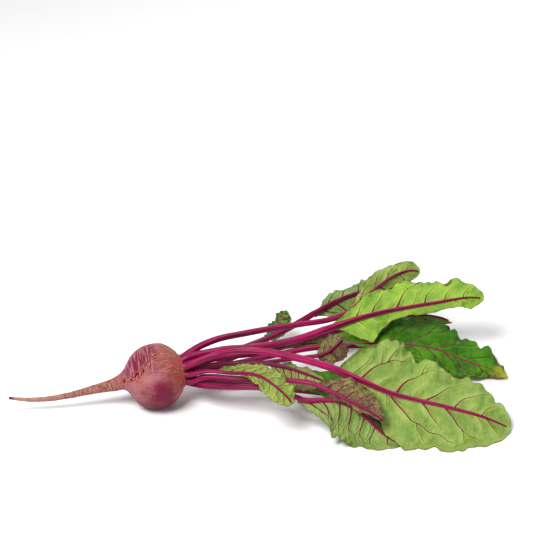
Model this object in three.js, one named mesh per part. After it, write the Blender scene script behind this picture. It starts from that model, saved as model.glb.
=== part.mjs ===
// A beetroot as picked, lying on its side: one root with its tail, and a rosette of leaves on the crown.
// Millimetres, +Z up. The origin is the middle of the small flat spot on which the root rests.
// +X runs from the root towards the leaf tips, +Y across the fan of leaves.
import * as THREE from "three";

// Root
const ROOT_RADIUS = 31;
const CENTRE_HEIGHT = 30;
const ROOT_SIDES = 26;
const CROWN_CENTRE = new THREE.Vector3(25.5, 5.5, 32.5);
const CROWN_RADIUS = 15;
const CROWN_AXIS = new THREE.Vector3(1, 0.2, 0.1).normalize();
// Distances above the bulb's middle between which its sections turn to face along the crown's axis.
const SHOULDER_TURN = [14, 28];
// Where the bulb has become tail, below the bulb's middle, and the tail's radius there and at its tip.
const TAIL_START = 32;
const TAIL_TOP_RADIUS = 8;
const TAIL_TIP_RADIUS = 1.2;
const TAIL_RING_STEP = 5;
const TAIL_RIDGE = 0.05;
// The bulb isn't quite round: [height as a share of the radius, lobes round the bulb, phase].
const LUMPS = [[0.012, 3, 0.7], [0.008, 5, 0.2]];

// Leaves
const BLADE_THICKNESS = 0.8;
const GAP = 0.35;
const SEAT_GAP = 0.95;
const OUTER_RING = 11.4;
const INNER_RING = 4.7;
const SEAT_RUN = 4;
const SEAT_SPREAD = 0.16;
const WING = 0.07;
const SHOULDER = 0.08;
const LEAST_HALF_WIDTH = 1.4;
const NOTCH = 0.07;
const NOTCHES_PER_WAVE = 2.3;
// Rows of a blade follow a sine up to this share of a quarter turn, so that they close up towards the tip.
const ROW_CLOSING = 0.97;
const RIB_TIP_RADIUS = 0.7;
// Rows and columns of a blade, steps of its stalk and sides of the stalk's section.
const FINE = [20, 8, 10, 8];
const MIDDLING = [14, 8, 9, 7];
const SMALL = [12, 6, 8, 6];

const ROOT_COLOUR = 0x8a3a4c;
const STALK_COLOUR = 0xa8144f;
const PALE_GREEN = 0x9cbf4f;
const DEEP_GREEN = 0x3f8a2a;
const BRONZE_GREEN = 0x8f8f4a;

const UP = new THREE.Vector3(0, 0, 1);
const radians = THREE.MathUtils.degToRad;
const mix = THREE.MathUtils.lerp;
const ramp = THREE.MathUtils.smoothstep;

// Each leaf, in millimetres and degrees.
// seat: the ring on the crown, and the angle round it, counted from the left (+Y) over the top.
// way: points of the stalk and midrib from beyond the crown to the tip.
// blade: the point of the way, counted in points and their shares, at which the blade starts.
// radius: the stalk's at the crown and at the blade.
// roll: turns the blade's upper side to the right (-Y), at the base and at the tip.
// left, right: [half-width, share of the blade where it starts to widen, rise at base and at tip,
// curl over the half-width at base and at tip].
// leftLobe, rightLobe: a rounded lobe on that margin: [height as a share of the half-width, share of the blade
// where it stands, its spread].
// waves: [height, waves along the blade, phase].
// widest: the share of the blade at which it is widest.
// point: 0.5 rounds the tip off, 1 draws it out.
// ribs: 1 where the underside with its raised midrib lies upwards, -1 where it lies downwards.
const LEAVES = [
  {
    name: "leaf_01",
    seat: [OUTER_RING, 130],
    way: [[53, -4, 54], [75, -8, 62], [94, -10, 64], [114, -13, 63], [136, -17, 60], [163, -22, 54],
      [190, -28, 45], [219, -34, 34], [247, -38, 28], [274, -42, 23], [306, -46, 15], [331, -50, 5]],
    blade: 5.3,
    radius: [3.5, 3.3],
    roll: [25, 20],
    left: [46, -0.3, 6, 0, -10, -25],
    leftLobe: [0.42, 0.27, 0.17],
    right: [50, 0.16, 0, -4, -22, -20],
    waves: [3.6, 4, 0.4],
    widest: 0.45,
    point: 0.5,
    ribs: 1,
    colour: PALE_GREEN,
    cuts: FINE,
  },
  {
    name: "leaf_02",
    seat: [OUTER_RING, 90],
    way: [[45, 12, 47], [66, 21, 46], [88, 29, 43], [110, 39, 40], [137, 52, 39], [164, 60, 45.5],
      [192, 67, 52.5], [219, 73, 57], [247, 78, 60], [275, 82, 63], [302, 86, 65.5], [318, 87, 64]],
    blade: 4.9,
    radius: [3.5, 3.3],
    roll: [30, 25],
    left: [29, 0, 14, 6, -20, -20],
    right: [9, 0, -1, -8, 0, -20],
    rightLobe: [2.3, 0.24, 0.11],
    waves: [3.6, 4, 1.2],
    widest: 0.5,
    point: 0.5,
    ribs: 1,
    colour: PALE_GREEN,
    cuts: FINE,
  },
  {
    name: "leaf_03",
    seat: [OUTER_RING, 50],
    way: [[42, 19, 51], [59, 28, 53.5], [81, 41, 51], [108, 57, 47], [137, 71, 43.5], [168, 82, 42.5],
      [185, 89, 46.5], [200, 98, 55], [219, 109, 67.5], [235, 117, 74], [248, 121, 76], [258, 123, 74]],
    blade: 5.2,
    radius: [3.3, 2.6],
    roll: [45, 30],
    left: [13.5, 0.1, 20, 20, -30, -20],
    right: [18, 0, -20, -30, -50, -50],
    waves: [2.6, 2.6, 2.2],
    widest: 0.6,
    point: 0.5,
    ribs: 1,
    colour: PALE_GREEN,
    cuts: MIDDLING,
  },
  {
    name: "leaf_04",
    seat: [OUTER_RING, 10],
    way: [[50, 29, 30], [84, 55, 27], [110, 75, 27], [138, 95, 31.5], [155, 105, 37.5], [168, 112, 42],
      [183, 118, 46.5], [198, 122, 50], [214, 126, 51], [228, 130, 50], [240, 133, 47]],
    blade: 3.8,
    radius: [3.4, 3],
    roll: [10, 20],
    left: [24, 0, 20, 10, -90, -60],
    right: [28, 0, -40, -30, -20, -30],
    waves: [2.4, 2.6, 0.8],
    widest: 0.5,
    point: 0.7,
    ribs: 1,
    colour: DEEP_GREEN,
    cuts: MIDDLING,
  },
  {
    name: "leaf_05",
    seat: [INNER_RING, 315],
    way: [[50, 10, 32], [80, 17, 34], [113, 30, 34], [142, 40, 34.5], [166, 47, 33], [195, 51, 31],
      [220, 54, 29], [244, 56, 27], [269, 56, 22], [285, 55, 16], [300, 53, 10.5], [322, 47, 6],
      [339, 38, 1]],
    blade: 4.6,
    radius: [2.8, 2.8],
    roll: [8, 8],
    left: [44, -0.2, 4, 8, -10, -20],
    right: [28, 0, 0, 0, -20, -20],
    waves: [4, 4, 0.2],
    widest: 0.42,
    point: 0.95,
    ribs: -1,
    colour: DEEP_GREEN,
    cuts: FINE,
  },
  {
    name: "leaf_06",
    seat: [OUTER_RING, 250],
    way: [[47, -12, 26.5], [69, -22, 31.5], [103, -32, 37], [125, -38, 34], [141, -42, 31], [156, -43, 32],
      [170, -44, 31.5], [183, -47, 27.5], [195, -52, 20.5], [205, -57, 12.5], [213, -62, 7],
      [222, -67, 3.4], [230, -71, 2]],
    blade: 3.6,
    radius: [3.2, 2.4],
    roll: [10, 10],
    left: [18, 0.3, -20, -15, -20, -10],
    right: [34, 0, -30, -25, 20, 20],
    waves: [3, 3, 0.6],
    widest: 0.42,
    point: 0.7,
    ribs: 1,
    colour: PALE_GREEN,
    cuts: MIDDLING,
  },
  {
    name: "leaf_07",
    seat: [OUTER_RING, 210],
    way: [[48, -9.5, 34.5], [75, -18.5, 38.5], [108, -27, 43], [132, -33, 45.5], [148, -39, 46.5],
      [169, -48, 41], [189, -57, 35], [202, -63, 30], [212, -68, 25]],
    blade: 4,
    radius: [3, 2.3],
    roll: [55, 40],
    left: [20, 0, 8, 5, -40, -50],
    right: [6, 0, -20, -20, -40, -40],
    waves: [2, 3, 0.3],
    widest: 0.4,
    point: 0.8,
    ribs: 1,
    colour: BRONZE_GREEN,
    cuts: SMALL,
  },
  {
    name: "leaf_08",
    seat: [OUTER_RING, 170],
    way: [[48, -11, 42.2], [71, -20, 46.5], [90, -30, 52], [101, -40, 54.5], [112, -50, 52.5],
      [122, -56, 46], [129, -60, 38]],
    blade: 0.4,
    radius: [2.6, 1.8],
    roll: [50, 20],
    left: [13, -0.35, 20, 0, -30, -20],
    right: [12, 0.2, -20, 0, -30, -20],
    waves: [2, 5, 0.1],
    widest: 0.76,
    point: 0.5,
    ribs: 1,
    colour: PALE_GREEN,
    cuts: SMALL,
  },
  {
    name: "leaf_09",
    seat: [INNER_RING, 135],
    way: [[61, -2, 44], [94, -8, 50], [117, -13, 50], [134, -18, 47.5], [148, -23, 44.5],
      [158, -27, 42]],
    blade: 1.5,
    radius: [2.5, 2],
    roll: [40, 30],
    left: [7, 0, 0, 0, -40, -40],
    right: [17, 0, -20, -10, -10, -30],
    waves: [1.8, 3, 0.5],
    widest: 0.5,
    point: 0.5,
    ribs: 1,
    colour: PALE_GREEN,
    cuts: SMALL,
  },
  {
    name: "leaf_10",
    seat: [INNER_RING, 225],
    way: [[60, 2, 37], [90, 4, 40], [117, 6, 43], [138, 8, 45], [154, 9, 47], [164, 10, 51],
      [171, 12, 56.5], [177, 14, 62]],
    blade: 3.9,
    radius: [2.4, 1.8],
    roll: [50, 30],
    left: [14, -0.2, 10, 10, -40, -30],
    right: [14, -0.2, -10, -10, -30, -30],
    waves: [1.6, 2.4, 0.7],
    widest: 0.55,
    point: 0.5,
    ribs: 1,
    colour: BRONZE_GREEN,
    cuts: SMALL,
  },
  {
    name: "leaf_11",
    seat: [INNER_RING, 45],
    way: [[45, 10, 40], [75, 19, 39.5], [90, 27, 36.5], [108, 40, 33], [142, 60, 31.5], [171, 80, 30],
      [206, 99, 28], [235, 107, 30.5], [260, 110, 31], [280, 111.5, 27], [292, 112, 21]],
    blade: 3.3,
    radius: [2.6, 2.3],
    roll: [25, 25],
    left: [9.5, 0, -40, -35, -20, -20],
    right: [15, 0, -25, -30, -20, -30],
    waves: [2.6, 2, 0.1],
    widest: 0.5,
    point: 0.7,
    ribs: 1,
    colour: PALE_GREEN,
    cuts: MIDDLING,
  },
  {
    name: "leaf_12",
    seat: [OUTER_RING, 290],
    way: [[55, -1, 22], [90, -3, 21], [125, -5, 18], [160, -7, 14], [195, -9, 10], [225, -11, 6],
      [255, -12, 3.5], [285, -11, 2], [307, -9, 1.2], [321, -7, 1]],
    blade: 2.2,
    radius: [3.4, 2.8],
    roll: [0, 0],
    left: [38, -0.28, 28, 4, -10, -8],
    right: [28, 0, 4, 4, -8, -8],
    waves: [2, 3, 0.5],
    widest: 0.5,
    point: 0.8,
    ribs: -1,
    colour: DEEP_GREEN,
    cuts: MIDDLING,
  },
  {
    name: "leaf_13",
    seat: [OUTER_RING, 330],
    way: [[50, 31, 21], [79, 62, 13], [98, 84, 10.5], [108, 94, 14], [116, 102, 22.5], [122, 107, 30],
      [126, 109.5, 35]],
    blade: 2.7,
    radius: [2.6, 1.6],
    roll: [0, 0],
    left: [12, -0.3, -10, -10, -20, -20],
    right: [13, -0.3, -10, -10, -20, -20],
    waves: [2, 2.5, 0.5],
    widest: 0.55,
    point: 0.5,
    ribs: -1,
    colour: DEEP_GREEN,
    cuts: SMALL,
  },
];

// A closed skin over a row of rings with the same number of points, with a fan over each end.
function skin(rings) {
  const sides = rings[0].length;
  const points = rings.flat();
  const faces = [];
  for (let i = 0; i + 1 < rings.length; i++) {
    for (let j = 0; j < sides; j++) {
      const a = i * sides + j;
      const b = i * sides + ((j + 1) % sides);
      faces.push(a, b, a + sides, b, b + sides, a + sides);
    }
  }
  const middle = (ring) => ring.reduce((sum, p) => sum.add(p), new THREE.Vector3()).divideScalar(sides);
  const first = points.push(middle(rings[0])) - 1;
  const last = points.push(middle(rings.at(-1))) - 1;
  const end = (rings.length - 1) * sides;
  for (let j = 0; j < sides; j++) {
    const k = (j + 1) % sides;
    faces.push(first, k, j);
    faces.push(last, end + j, end + k);
  }
  return new THREE.BufferGeometry().setFromPoints(points).setIndex(faces);
}

// A closed sheet of even thickness over a grid of points, split into triangles alike on both faces.
function sheet(grid, thickness) {
  const rows = grid.length;
  const columns = grid[0].length;
  const at = (i, j) => grid[THREE.MathUtils.clamp(i, 0, rows - 1)][THREE.MathUtils.clamp(j, 0, columns - 1)];
  const points = [];
  for (const side of [0.5, -0.5]) {
    for (let i = 0; i < rows; i++) {
      for (let j = 0; j < columns; j++) {
        const along = at(i + 1, j).clone().sub(at(i - 1, j));
        const across = at(i, j + 1).clone().sub(at(i, j - 1));
        const normal = along.cross(across).normalize();
        points.push(at(i, j).clone().addScaledVector(normal, side * thickness));
      }
    }
  }
  const lower = rows * columns;
  const faces = [];
  for (let i = 0; i + 1 < rows; i++) {
    for (let j = 0; j + 1 < columns; j++) {
      const a = i * columns + j;
      const [b, c, d] = [a + columns, a + columns + 1, a + 1];
      faces.push(a, b, c, a, c, d);
      faces.push(a + lower, c + lower, b + lower, a + lower, d + lower, c + lower);
    }
  }
  const wall = (a, b) => faces.push(a, a + lower, b, b, a + lower, b + lower);
  for (let i = 0; i + 1 < rows; i++) {
    wall(i * columns, (i + 1) * columns);
    wall((i + 2) * columns - 1, (i + 1) * columns - 1);
  }
  for (let j = 0; j + 1 < columns; j++) {
    wall(j + 1, j);
    wall((rows - 1) * columns + j, (rows - 1) * columns + j + 1);
  }
  return new THREE.BufferGeometry().setFromPoints(points).setIndex(faces);
}

// Upward and leftward directions across a way at its tangent, rolled to the right by an angle.
function frame(tangent, roll) {
  const up = UP.clone().addScaledVector(tangent, -UP.dot(tangent)).normalize();
  const left = up.clone().cross(tangent);
  const normal = up.clone().multiplyScalar(Math.cos(roll)).addScaledVector(left, -Math.sin(roll));
  return { normal, left: normal.clone().cross(tangent) };
}

// The points of a section round a centre, flattened where it rests on the surface below.
function sectionRing(centre, { normal, left }, sides, radiusAt) {
  const ring = [];
  for (let k = 0; k < sides; k++) {
    const angle = (2 * Math.PI * (k + 0.5)) / sides - Math.PI / 2;
    const p = centre.clone()
      .addScaledVector(left, radiusAt(angle) * Math.cos(angle))
      .addScaledVector(normal, radiusAt(angle) * Math.sin(angle));
    p.z = Math.max(0, p.z);
    ring.push(p);
  }
  return ring;
}

// The root's half-width along its axis: [distance from the middle towards the crown, radius].
const BULB_PROFILE = [
  [26.4, CROWN_RADIUS - 0.6], [24.6, CROWN_RADIUS + 1.2], [22, 20], [17, 25.3], [10.5, 29.4],
  [3, ROOT_RADIUS],
  [-6, 30.4], [-14, 27.4], [-20, 22.8], [-24.6, 16.6], [-27.8, 11.6], [-TAIL_START, TAIL_TOP_RADIUS],
];
const TAIL_PROFILE = [
  [-TAIL_START, TAIL_TOP_RADIUS], [-40, 6.3], [-50, 5], [-62, 4], [-78, 3.1], [-96, 2.6], [-118, 2.1],
];
// The way of the root's axis below the crown, from the middle to the tip of the tail.
const TAIL_WAY = [
  [0, 0, CENTRE_HEIGHT], [-29, -4.5, 26.8], [-39, -6.2, 24], [-51.6, -8.2, 21.6], [-64.3, -10.2, 19.3],
  [-83, -12.8, 15.8], [-102, -15, 13.6], [-120.5, -17, 14.3], [-137, -19, 17.4],
];

function tailRadius(distance, length) {
  const profile = [...TAIL_PROFILE, [-length, TAIL_TIP_RADIUS]];
  const next = Math.max(1, profile.findIndex(([at]) => at <= distance));
  const [from, to] = [profile[next - 1], profile[next]];
  return mix(from[1], to[1], (distance - from[0]) / (to[0] - from[0]));
}

function swell(angle) {
  return LUMPS.reduce((sum, [height, lobes, phase]) => sum + height * Math.sin(lobes * angle + phase), 1);
}

function rootGeometry() {
  const way = new THREE.CatmullRomCurve3(TAIL_WAY.map((p) => new THREE.Vector3(...p)), false, "centripetal");
  const length = way.getLength();
  const middle = new THREE.Vector3(0, 0, CENTRE_HEIGHT);
  const upwards = CROWN_CENTRE.clone().sub(middle).normalize();
  const profile = [...BULB_PROFILE];
  const tailRings = Math.floor((length - TAIL_START) / TAIL_RING_STEP);
  for (let k = 1; k <= tailRings; k++) {
    const distance = mix(-TAIL_START, -length, k / tailRings);
    profile.push([distance, tailRadius(distance, length) * (1 + TAIL_RIDGE * Math.sin(2.4 * k))]);
  }
  const rings = profile.map(([distance, radius]) => {
    const above = distance > 0;
    const share = THREE.MathUtils.clamp(-distance / length, 0, 1);
    const centre = above
      ? middle.clone().lerp(CROWN_CENTRE, distance / CROWN_CENTRE.distanceTo(middle))
      : way.getPointAt(share);
    const tangent = above
      ? upwards.clone().lerp(CROWN_AXIS, ramp(distance, ...SHOULDER_TURN)).normalize()
      : way.getTangentAt(share).negate();
    return sectionRing(centre, frame(tangent, 0), ROOT_SIDES, (angle) => radius * swell(angle)).reverse();
  });
  return skin(rings);
}

// A leaf's way from its seat on the crown to its tip, and the share of its length at which the blade starts.
function wayOf(leaf) {
  const ring = leaf.seat[0];
  const angle = radians(leaf.seat[1]);
  const { normal, left } = frame(CROWN_AXIS, 0);
  const out = left.clone().multiplyScalar(Math.cos(angle)).addScaledVector(normal, Math.sin(angle));
  const seat = CROWN_CENTRE.clone().addScaledVector(out, ring).addScaledVector(CROWN_AXIS, SEAT_GAP);
  const risen = seat.clone().addScaledVector(CROWN_AXIS, SEAT_RUN).addScaledVector(out, SEAT_SPREAD * ring);
  const points = [seat, risen, ...leaf.way.map((p) => new THREE.Vector3(...p))];
  const way = new THREE.CatmullRomCurve3(points, false, "centripetal");
  const before = Math.floor(leaf.blade) + 2;
  const foot = points[before].clone().lerp(points[before + 1], leaf.blade % 1);
  return { way, start: nearestShare(way, foot) };
}

function nearestShare(way, point) {
  const steps = 400;
  const away = (share) => way.getPointAt(share).distanceTo(point);
  let best = 0;
  for (let i = 0; i <= steps; i++) {
    if (away(i / steps) < away(best)) best = i / steps;
  }
  return best;
}

// Share of the blade's length at a row: rows stand closer together towards the tip.
function station(row, rows) {
  const quarter = (Math.PI / 2) * ROW_CLOSING;
  return Math.sin((row / rows) * quarter) / Math.sin(quarter);
}

// Half-width of one side of a blade along its length, as a share of its greatest half-width.
function outline(u, start, { widest, point }) {
  const base = mix(WING, 1, ramp(u, start, widest) ** 0.8 * Math.sqrt(Math.min(1, u / SHOULDER)));
  const over = Math.max(0, (u - widest) / (1 - widest));
  return base * Math.max(0, 1 - over ** 2.4) ** point;
}

// What a lobe adds to that share.
function lobeShare(u, [height, place, spread] = [0, 0, 1]) {
  return height * Math.exp(-(((u - place) / spread) ** 2)) * Math.min(1, u / SHOULDER);
}

function ribRadius(leaf, u) {
  return mix(leaf.radius[1], RIB_TIP_RADIUS, u ** 0.5);
}

// The grid of points of a leaf's blade, which lies clear of its midrib.
function bladeGrid(leaf, way, start, rows, columns) {
  const [amplitude, cycles, phase] = leaf.waves;
  const grid = [];
  for (let i = 0; i <= rows; i++) {
    const u = station(i, rows);
    const share = mix(start, 1, u);
    const { normal, left } = frame(way.getTangentAt(share), radians(mix(...leaf.roll, u)));
    const rises = [leaf.left, leaf.right].map((side) => radians(mix(side[2], side[3], u)));
    const towardsRib = Math.max(0, ...rises.map((rise) => rise * leaf.ribs));
    const clear = (ribRadius(leaf, u) + BLADE_THICKNESS / 2 + GAP) / Math.cos(towardsRib);
    const middle = way.getPointAt(share).addScaledVector(normal, -leaf.ribs * clear);
    const row = [];
    for (let j = 0; j <= columns; j++) {
      const v = (2 * j) / columns - 1;
      const sign = v < 0 ? -1 : 1;
      const [halfWidth, widens, , , curlBase, curlTip] = v < 0 ? leaf.right : leaf.left;
      const lobe = lobeShare(u, v < 0 ? leaf.rightLobe : leaf.leftLobe);
      const rise = rises[v < 0 ? 1 : 0];
      const width = outline(u, widens, leaf);
      const curl = radians(mix(curlBase, curlTip, u)) / halfWidth;
      const notch = 1 + NOTCH * Math.sin(2 * Math.PI * (cycles * NOTCHES_PER_WAVE * u + phase + 0.3 * sign));
      const run = Math.abs(v) * Math.max(LEAST_HALF_WIDTH, halfWidth * (width + lobe) * notch);
      const turn = rise + curl * run;
      const bent = Math.abs(curl) > 1e-6;
      const across = bent ? (Math.sin(turn) - Math.sin(rise)) / curl : run * Math.cos(rise);
      const height = bent ? (Math.cos(rise) - Math.cos(turn)) / curl : run * Math.sin(rise);
      const swing = Math.sin(2 * Math.PI * (cycles * u + phase + 0.37 * (sign + 1)));
      const wave = amplitude * v * v * width * swing;
      const p = middle.clone()
        .addScaledVector(left, sign * (across - wave * Math.sin(turn)))
        .addScaledVector(normal, height + wave * Math.cos(turn));
      p.z = Math.max(BLADE_THICKNESS / 2, p.z);
      row.push(p);
    }
    grid.push(row);
  }
  return grid;
}

// A stalk with its midrib, which narrows to the tip.
function stalkGeometry(leaf, way, start, rows, steps, sides) {
  const rings = [];
  const add = (share, tangent, radius, roll) => {
    rings.push(sectionRing(way.getPointAt(share), frame(tangent, radians(roll)), sides, () => radius));
  };
  for (let i = 0; i < steps; i++) {
    const risen = i / steps;
    const tangent = i ? way.getTangentAt(start * risen) : CROWN_AXIS;
    add(start * risen, tangent, mix(...leaf.radius, risen), leaf.roll[0] * risen);
  }
  for (let i = 0; i <= rows; i++) {
    const u = station(i, rows);
    const share = mix(start, 1, u);
    add(share, way.getTangentAt(share), ribRadius(leaf, u), mix(...leaf.roll, u));
  }
  return skin(rings);
}

const material = (color, roughness) => new THREE.MeshStandardMaterial({ color, roughness, metalness: 0 });

const beetroot = new THREE.Group();
function add(name, geometry, finish) {
  const mesh = new THREE.Mesh(geometry, finish);
  mesh.name = name;
  beetroot.add(mesh);
}

add("root", rootGeometry(), material(ROOT_COLOUR, 0.6));
for (const leaf of LEAVES) {
  const { way, start } = wayOf(leaf);
  const [rows, columns, steps, sides] = leaf.cuts;
  const stalk = stalkGeometry(leaf, way, start, rows, steps, sides);
  const blade = sheet(bladeGrid(leaf, way, start, rows, columns), BLADE_THICKNESS);
  add(leaf.name + "_stalk", stalk, material(STALK_COLOUR, 0.45));
  add(leaf.name + "_blade", blade, material(leaf.colour, 0.6));
}

export default beetroot;
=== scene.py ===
"""The looks of a beetroot as picked, lying on its side with its tail, its stalks and its leaves.

Lengths are in millimetres in the solids' frame, +X towards the leaf tips and +Z up.
Meshes are made in metres.
"""
import math

import bmesh
import bpy
import numpy as np
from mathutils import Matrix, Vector, kdtree, noise


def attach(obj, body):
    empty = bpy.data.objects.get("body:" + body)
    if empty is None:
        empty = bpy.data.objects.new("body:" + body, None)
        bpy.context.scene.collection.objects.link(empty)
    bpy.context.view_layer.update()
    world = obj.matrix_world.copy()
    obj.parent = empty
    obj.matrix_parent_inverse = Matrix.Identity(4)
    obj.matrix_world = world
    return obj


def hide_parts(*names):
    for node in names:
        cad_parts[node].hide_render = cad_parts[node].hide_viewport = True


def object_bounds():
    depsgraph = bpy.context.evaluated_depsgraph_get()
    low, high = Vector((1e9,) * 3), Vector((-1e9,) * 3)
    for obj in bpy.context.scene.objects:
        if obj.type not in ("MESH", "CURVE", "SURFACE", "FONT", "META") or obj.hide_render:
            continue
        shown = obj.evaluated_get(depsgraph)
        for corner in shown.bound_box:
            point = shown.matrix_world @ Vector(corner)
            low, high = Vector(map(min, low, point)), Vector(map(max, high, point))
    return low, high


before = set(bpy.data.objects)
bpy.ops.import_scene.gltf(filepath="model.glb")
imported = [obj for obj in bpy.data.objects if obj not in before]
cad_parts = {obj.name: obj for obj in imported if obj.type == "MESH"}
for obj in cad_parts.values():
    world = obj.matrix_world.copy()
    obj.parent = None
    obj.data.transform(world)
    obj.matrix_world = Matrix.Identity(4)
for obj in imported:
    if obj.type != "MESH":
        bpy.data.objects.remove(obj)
cad_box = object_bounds()

MM = 0.001
UP = np.array([0.0, 0.0, 1.0])
MERGED = 0.002
FLAT_SCALE = 0.01
FLOOR_CLEAR = 0.02
BOX_LOW, BOX_HIGH = (np.array(corner) / MM for corner in cad_box)

# Camera, at the photograph's viewing angle
PICTURE_SIDE = 533
FOCAL_PIXELS = 1702
SENSOR_WIDTH = 36
CAMERA_PLACE = (0.1048, -1.3480, 0.9111)
CAMERA_DROP = 29.5

# Light: the surroundings' strength, and softboxes as (name, place, what they face, side, power), in metres
SURROUNDINGS = 0.36
SOFTBOXES = [
    ("key", (-0.55, -0.75, 1.5), (0.1, 0, 0), 0.75, 34),
    ("back", (0.7, 1.0, 1.3), (0.1, 0, 0), 1.2, 12),
]

# Root
ROOT_RADIUS = 31
CENTRE_HEIGHT = 30
CROWN_CENTRE = np.array([25.5, 5.5, 32.5])
CROWN_RADIUS = 15
CROWN_AXIS = np.array([1, 0.2, 0.1]) / np.linalg.norm([1, 0.2, 0.1])
SHOULDER_TURN = (14, 28)
TAIL_START = 32
TAIL_TOP_RADIUS = 8
TAIL_TIP_RADIUS = 1.2
LUMPS = ((0.012, 3, 0.7), (0.008, 5, 0.2))
BULB_PROFILE = [
    (26.4, CROWN_RADIUS - 0.6), (24.6, CROWN_RADIUS + 1.2), (22, 20), (17, 25.3), (10.5, 29.4),
    (3, ROOT_RADIUS), (-6, 30.4), (-14, 27.4), (-20, 22.8), (-24.6, 16.6), (-27.8, 11.6),
    (-TAIL_START, TAIL_TOP_RADIUS),
]
TAIL_PROFILE = [(-40, 6.3), (-50, 5), (-62, 4), (-78, 3.1), (-96, 2.6), (-118, 2.1)]
TAIL_WAY = [
    (0, 0, CENTRE_HEIGHT), (-29, -4.5, 26.8), (-39, -6.2, 24), (-51.6, -8.2, 21.6), (-64.3, -10.2, 19.3),
    (-83, -12.8, 15.8), (-102, -15, 13.6), (-120.5, -17, 14.3), (-137, -19, 17.4),
]
ROOT_ROWS = 330
ROOT_SIDES = 240
CAP_ROWS = 9
CAP_HEIGHT = 1.4

# Cracks in the skin: millimetres above the bulb's middle, degrees round it from the left (+Y) over the top,
# half-length, lean from the axis in radians, half-width.
SCARS = [
    (-28, 152, 3.2, 1.3, 0.9), (-24, 149, 2.8, 0.2, 0.7), (-20, 150, 3.4, 0.5, 0.8), (-17, 141, 4.6, 1, 1),
    (-14, 137, 3.8, 0.2, 0.9), (-11, 133, 4.4, 0.9, 1), (-8, 127, 3.6, 0.5, 0.8), (-5, 124, 4, 1, 0.8),
    (-1, 119, 3.4, 0.6, 0.7), (1, 111, 3.6, 1.3, 0.7), (-21, 142, 3.2, 1.4, 0.7), (-36, 125, 1.8, 1.5, 0.5),
    (-45, 110, 1.8, 1.4, 0.5), (-54, 130, 1.4, 1.5, 0.4), (-18, 340, 3.6, 1, 0.7), (-12, 335, 3.2, 0.6, 0.7),
    (-24, 346, 2.4, 1.3, 0.6), (-5, 328, 3, 0.8, 0.6),
]

# Patches of deep crimson, partly the skin's own colour and partly painted shade on the front and underneath,
# and pale patches, dust, with a painted highlight in the first one, high on the front: millimetres above
# the bulb's middle, degrees round it, half-length, half the degrees covered.
CRIMSON_AND_SHADE = [(3, 184, 13, 26), (2, 232, 20, 36), (-12, 268, 12, 40), (8, 20, 16, 30), (-16, 112, 9, 24)]
DUST_AND_HIGHLIGHT = [(-5, 150, 11, 18), (-24, 185, 10, 40), (-6, 320, 15, 30), (10, 70, 9, 20)]

# Leaves
SHEET = 0.5
SOLID_SHEET = 0.8
GAP = 0.35
SEAT_GAP = 0.95
SEAT_RUN = 4
SEAT_SPREAD = 0.16
OUTER_RING = 11.4
INNER_RING = 4.7
WING = 0.07
SHOULDER = 0.08
LEAST_HALF_WIDTH = 1.4
TIP_HALF_WIDTH = 0.3
NOTCH = 0.07
NOTCHES_PER_WAVE = 2.3
ROW_CLOSING = 0.97
RIB_TIP_RADIUS = 0.7
RIB_SHOW = 0.6
RIB_END = 0.975
VEIN_TIP_RADIUS = 0.3
VEIN_SHOW = 0.3
VEIN_SCALE = 1.2
STALK_SIDES = 28
STALK_ROWS = 78
RIB_ROWS = 96
STALK_SUNK = (5, 2.5)
VEIN_SIDES = 6
VEIN_ROWS = 42
LEAST_VEIN_ROWS = 8
FIRST_SEED = 11
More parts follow.
